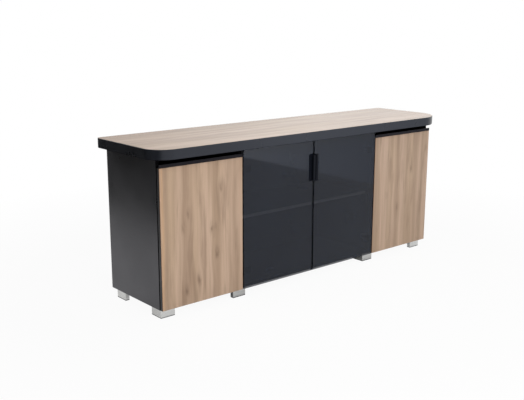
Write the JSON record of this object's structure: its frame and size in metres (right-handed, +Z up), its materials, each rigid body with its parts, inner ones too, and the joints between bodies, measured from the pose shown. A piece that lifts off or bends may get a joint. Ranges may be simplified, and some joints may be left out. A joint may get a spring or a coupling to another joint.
{
  "type": "office credenza",
  "caption": "Office credenza with a thick round-cornered wood top, dark carcass, wood doors with edge pulls, smoked glass doors with handles and angle feet.",
  "frame": {"origin": "floor level, under the middle of the top slab", "axes": "+X along the width to the right, +Y to the back, +Z up; the doors face -Y"},
  "size_m": [1.9, 0.492, 0.76],
  "materials": {
    "top_wood": "satin light-brown wood decor, grain lengthwise",
    "door_wood": "satin light-brown wood decor, grain upright",
    "slab_edge": "anthracite edging, fine matt",
    "carcass_board": "anthracite melamine-faced board, matt",
    "pull_black": "black anodised extrusion",
    "grip_black": "black anodised extrusion",
    "smoked_glass": "grey tinted float glass, polished edges",
    "foot_silver": "satin silver",
    "hinge_steel": "nickel-plated steel",
    "leaf_black": "black lacquer"
  },
  "bodies": {
    "cabinet": {"bottom_panel": "carcass_board", "centre_back_panel": "carcass_board", "centre_shelf": "carcass_board", "left_back_inner_foot": "foot_silver", "left_back_outer_foot": "foot_silver", "left_back_panel": "carcass_board", "left_centre_front_shelf_pin": "hinge_steel", "left_centre_rear_shelf_pin": "hinge_steel", "left_front_inner_foot": "foot_silver", "left_front_outer_foot": "foot_silver", "left_glass_lower_hinge_arm": "hinge_steel", "left_glass_upper_hinge_arm": "hinge_steel", "left_inner_front_shelf_pin": "hinge_steel", "left_inner_rear_shelf_pin": "hinge_steel", "left_outer_front_shelf_pin": "hinge_steel", "left_outer_rear_shelf_pin": "hinge_steel", "left_partition": "carcass_board", "left_shelf": "carcass_board", "left_side_panel": "carcass_board", "left_wood_lower_hinge_arm": "hinge_steel", "left_wood_upper_hinge_arm": "hinge_steel", "right_back_inner_foot": "foot_silver", "right_back_outer_foot": "foot_silver", "right_back_panel": "carcass_board", "right_centre_front_shelf_pin": "hinge_steel", "right_centre_rear_shelf_pin": "hinge_steel", "right_front_inner_foot": "foot_silver", "right_front_outer_foot": "foot_silver", "right_glass_lower_hinge_arm": "hinge_steel", "right_glass_upper_hinge_arm": "hinge_steel", "right_inner_front_shelf_pin": "hinge_steel", "right_inner_rear_shelf_pin": "hinge_steel", "right_outer_front_shelf_pin": "hinge_steel", "right_outer_rear_shelf_pin": "hinge_steel", "right_partition": "carcass_board", "right_shelf": "carcass_board", "right_side_panel": "carcass_board", "right_wood_lower_hinge_arm": "hinge_steel", "right_wood_upper_hinge_arm": "hinge_steel", "sub_top_panel": "carcass_board", "top_board": "top_wood", "top_edge_band": "slab_edge"},
    "left_wood_door_set": {"left_door_edge_pull": "pull_black", "left_wood_door": "door_wood", "left_wood_lower_hinge_cup": "hinge_steel", "left_wood_upper_hinge_cup": "hinge_steel"},
    "left_glass_door_set": {"left_glass_door": "smoked_glass", "left_glass_door_handle": "grip_black", "left_glass_lower_hinge_leaf": "leaf_black", "left_glass_upper_hinge_leaf": "leaf_black"},
    "right_wood_door_set": {"right_door_edge_pull": "pull_black", "right_wood_door": "door_wood", "right_wood_lower_hinge_cup": "hinge_steel", "right_wood_upper_hinge_cup": "hinge_steel"},
    "right_glass_door_set": {"right_glass_door": "smoked_glass", "right_glass_door_handle": "grip_black", "right_glass_lower_hinge_leaf": "leaf_black", "right_glass_upper_hinge_leaf": "leaf_black"}
  },
  "joints": [
    {"name": "left_wood_door_hinge", "type": "hinge", "parent": "cabinet", "child": "left_wood_door_set", "pos_m": [-0.887, -0.1715, 0.359], "axis": [0, 0, -1], "range_deg": [0, 95]},
    {"name": "left_glass_door_hinge", "type": "hinge", "parent": "cabinet", "child": "left_glass_door_set", "pos_m": [-0.4375, -0.171, 0.372], "axis": [0, 0, -1], "range_deg": [0, 95]},
    {"name": "right_wood_door_hinge", "type": "hinge", "parent": "cabinet", "child": "right_wood_door_set", "pos_m": [0.887, -0.1715, 0.359], "axis": [0, 0, 1], "range_deg": [0, 95]},
    {"name": "right_glass_door_hinge", "type": "hinge", "parent": "cabinet", "child": "right_glass_door_set", "pos_m": [0.4375, -0.171, 0.372], "axis": [0, 0, 1], "range_deg": [0, 95]}
  ]
}
